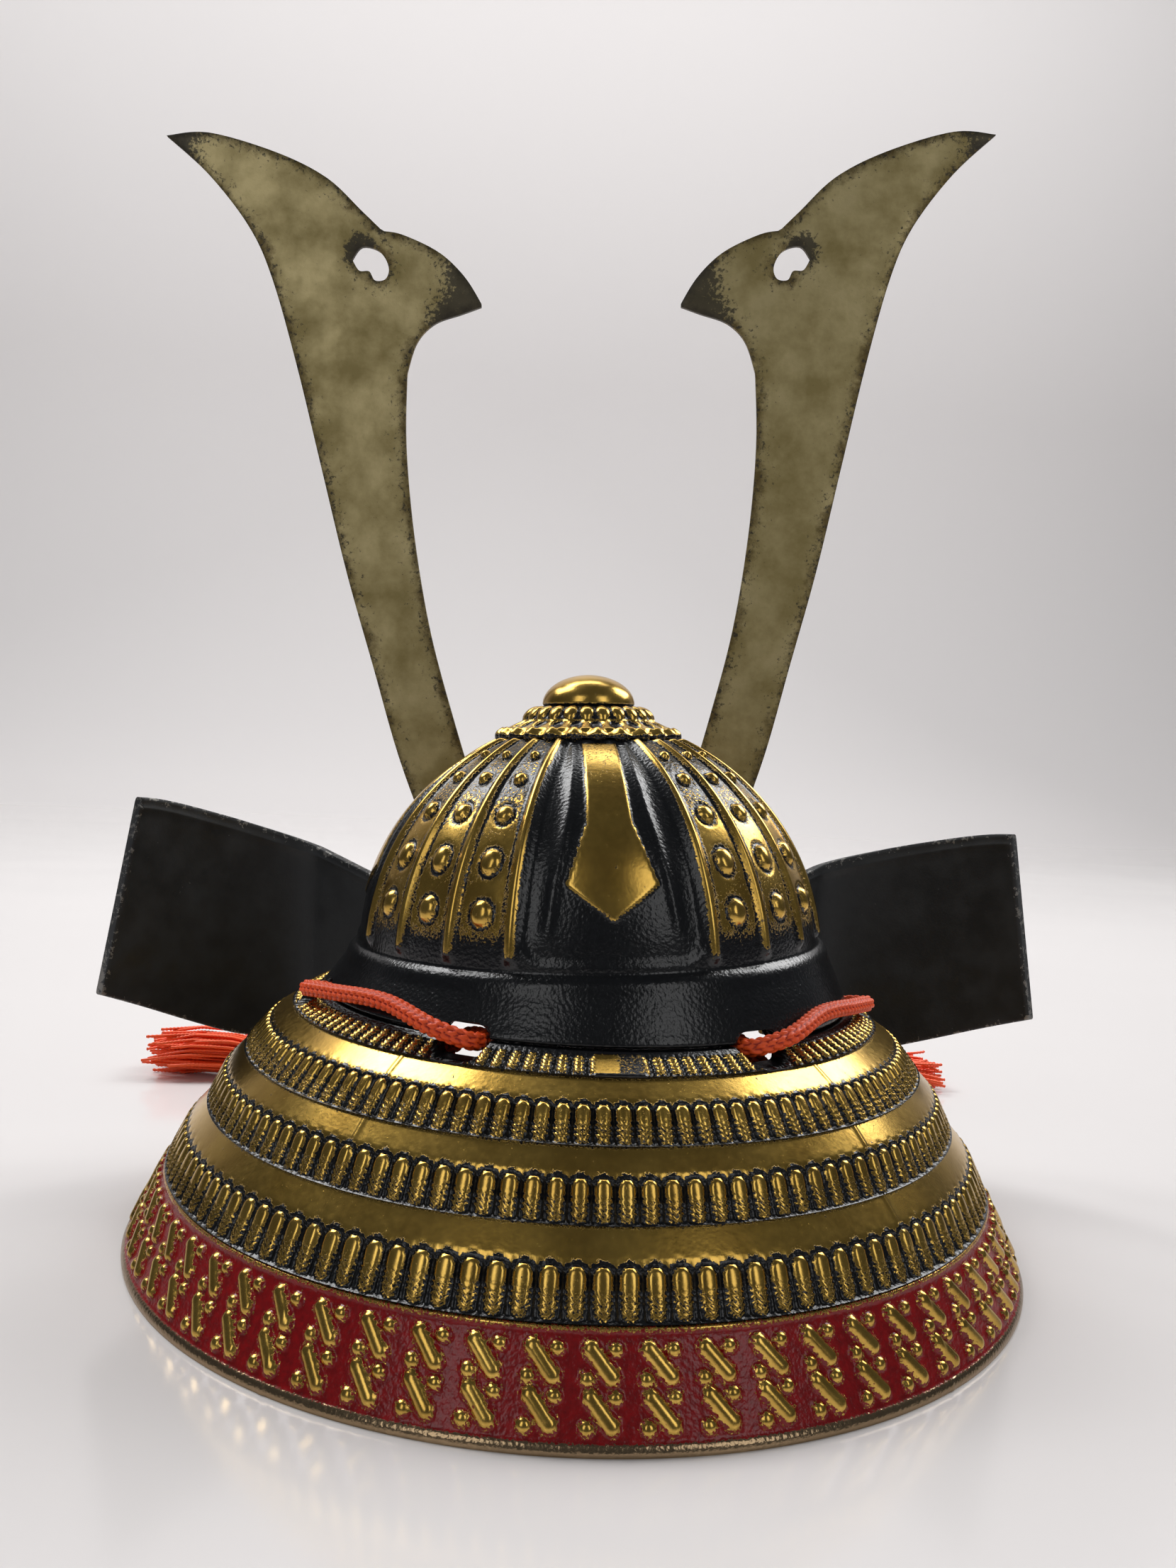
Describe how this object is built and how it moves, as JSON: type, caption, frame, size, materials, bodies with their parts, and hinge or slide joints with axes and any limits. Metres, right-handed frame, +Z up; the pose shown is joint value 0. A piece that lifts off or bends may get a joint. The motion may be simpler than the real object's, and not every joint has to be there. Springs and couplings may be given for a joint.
{
  "type": "small display kabuto helmet",
  "caption": "Cast metal samurai helmet: ribbed, studded bowl on a flared laced neck guard, turned-back wings, tall flat horns and an orange braided cord with tassels.",
  "frame": {"origin": "under the middle of the helmet's box without its cord, on the plane that the rim stands on", "axes": "+Z up, +Y towards the helmet's front, +X towards its right side as seen from the back"},
  "size_m": [0.2189, 0.202, 0.2426],
  "materials": {
    "antique_gold": "gold rubbed over black on cast relief, with a crimson lacquered hem on the neck guard",
    "black_lacquer": "satin black with a fine orange-peel texture and small chips",
    "tarnished_brass": "dull olive brass with dark tarnish along its edges",
    "orange_cord": "braided orange-red cord and thread tassels"
  },
  "bodies": {
    "root": {"bowl": "antique_gold", "finial": "antique_gold", "neck_guard": "antique_gold", "visor": "black_lacquer", "turnback_left": "black_lacquer", "turnback_right": "black_lacquer", "horn_holder": "antique_gold", "horn_left": "tarnished_brass", "horn_right": "tarnished_brass", "chin_cord": "orange_cord", "tassel_cord_left": "orange_cord", "tassel_cord_right": "orange_cord", "cord_knot": "orange_cord", "tassel_left": "orange_cord", "tassel_right": "orange_cord"}
  },
  "joints": []
}
